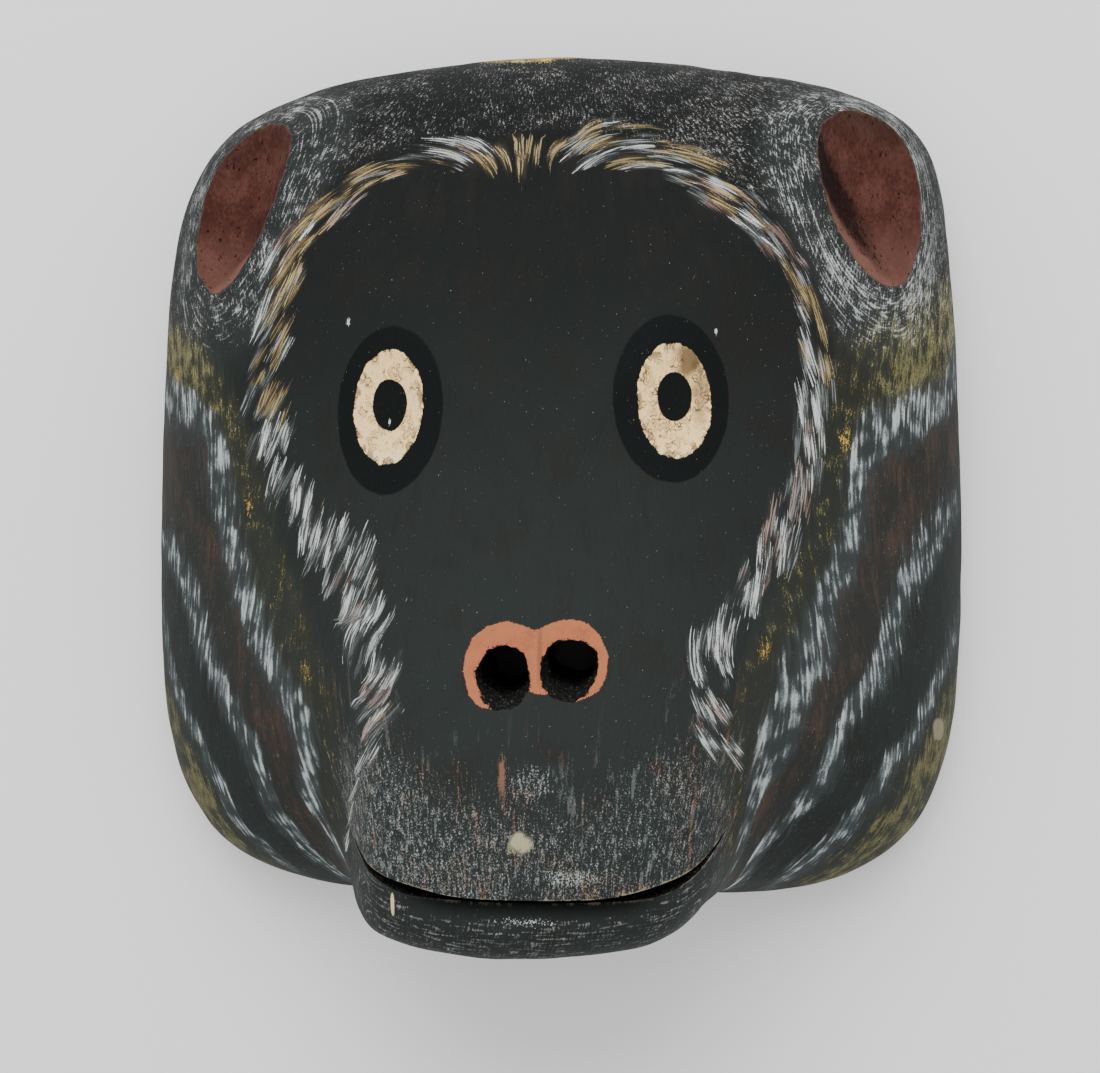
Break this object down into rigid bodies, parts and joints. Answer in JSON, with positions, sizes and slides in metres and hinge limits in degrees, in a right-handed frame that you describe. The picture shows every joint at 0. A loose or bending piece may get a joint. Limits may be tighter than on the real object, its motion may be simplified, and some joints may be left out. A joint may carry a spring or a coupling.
{
  "type": "monkey mask",
  "caption": "Carved wooden monkey mask with a hollow back, gouged ears, dished eyes, bored nostrils and a cut mouth, painted black with pale hair strokes.",
  "frame": {"origin": "on the plane of the flat back rim, under the middle of the mask's bounding box", "axes": "+Z is the way the face looks, +Y runs from the chin to the forehead, +X is to the right of someone who looks at the face"},
  "size_m": [0.1898, 0.1979, 0.101],
  "materials": {
    "painted_wood": "carved light wood under matt slate black paint, with dry brushed hair strokes, cream eyes, orange nostrils and dusty red ears; bare wood in the hollow back"
  },
  "bodies": {
    "root": {"mask_body": "painted_wood"}
  },
  "joints": []
}
